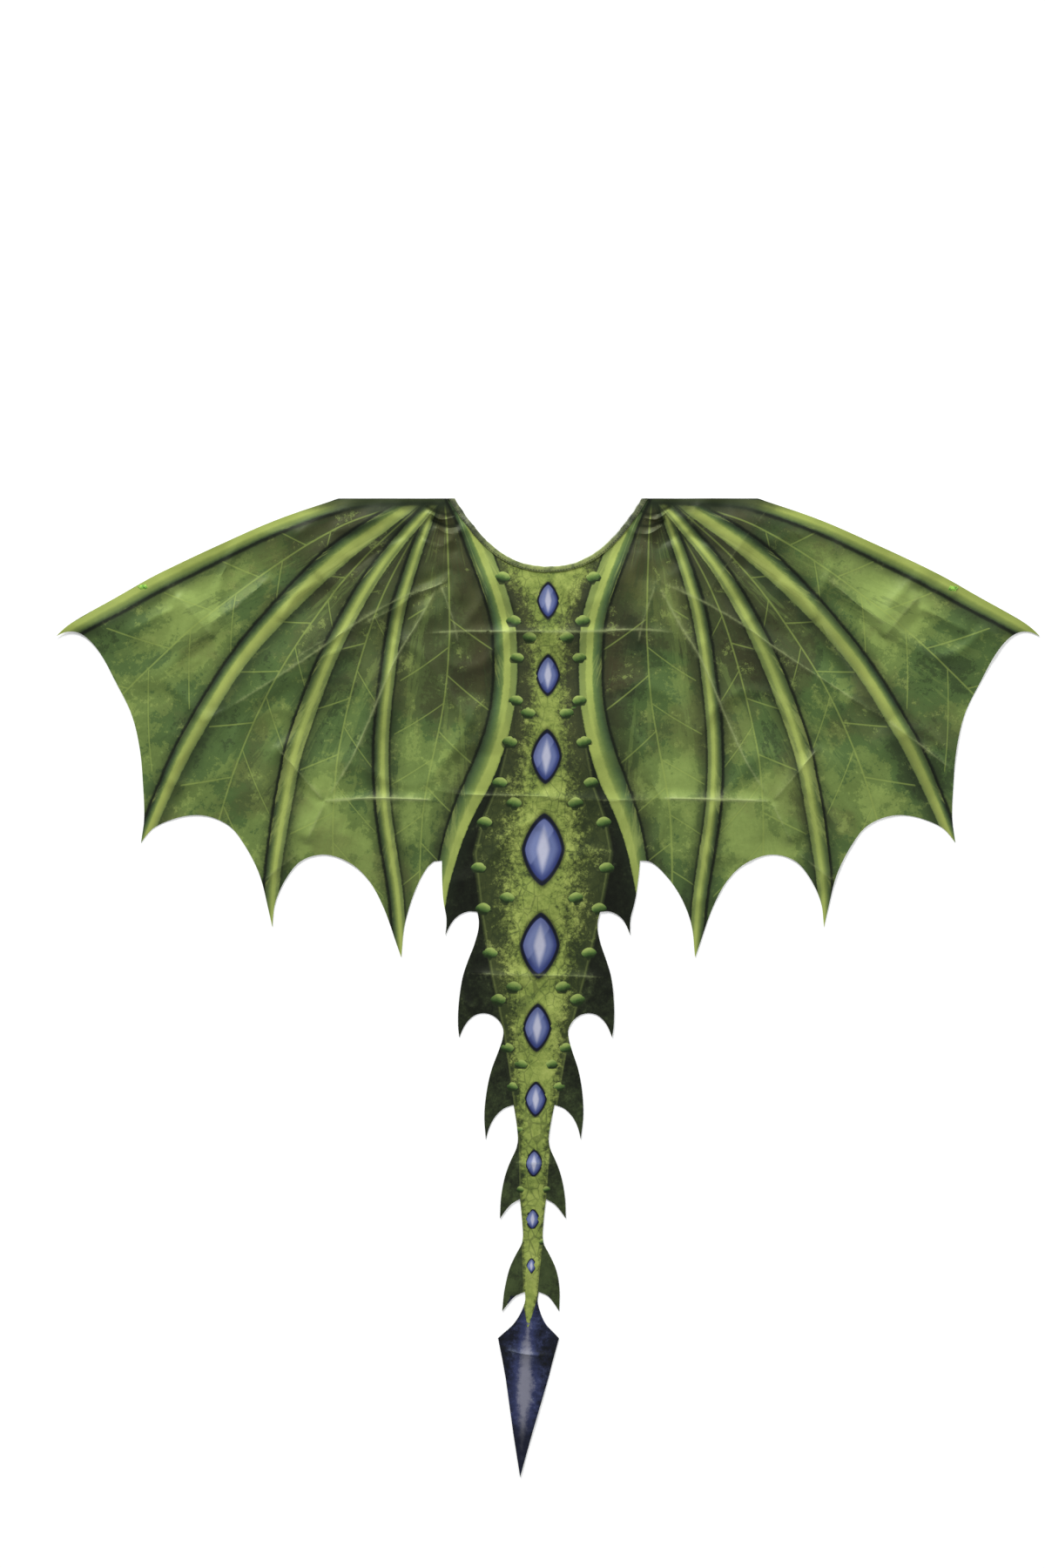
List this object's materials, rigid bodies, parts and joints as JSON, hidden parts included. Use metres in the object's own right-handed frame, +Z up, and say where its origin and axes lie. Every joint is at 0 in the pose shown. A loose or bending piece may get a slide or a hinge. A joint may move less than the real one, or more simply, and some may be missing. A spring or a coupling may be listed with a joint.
{
  "type": "costume dragon wings cape",
  "caption": "Flat cloth cape cut as two scalloped dragon wings with a long finned tail, a hemmed neckline and hidden neck and wrist elastics.",
  "frame": {"origin": "centre of the bounding box, on the surface that the cape lies on", "axes": "+X across the span to the wing on the right when seen from above, +Y towards the neck, +Z up, out of the printed side"},
  "size_m": [1.017, 1.011, 0.0036],
  "materials": {
    "printed_satin": "thin polyester satin, printed, soft sheen",
    "hem_satin": "the same satin, turned and stitched",
    "black_elastic": "matt knitted elastic",
    "green_thread": "bright polyester thread"
  },
  "bodies": {
    "root": {"cape_panel": "printed_satin", "neck_hem": "hem_satin", "neck_elastic": "black_elastic", "left_wrist_loop": "black_elastic", "right_wrist_loop": "black_elastic"}
  },
  "joints": []
}
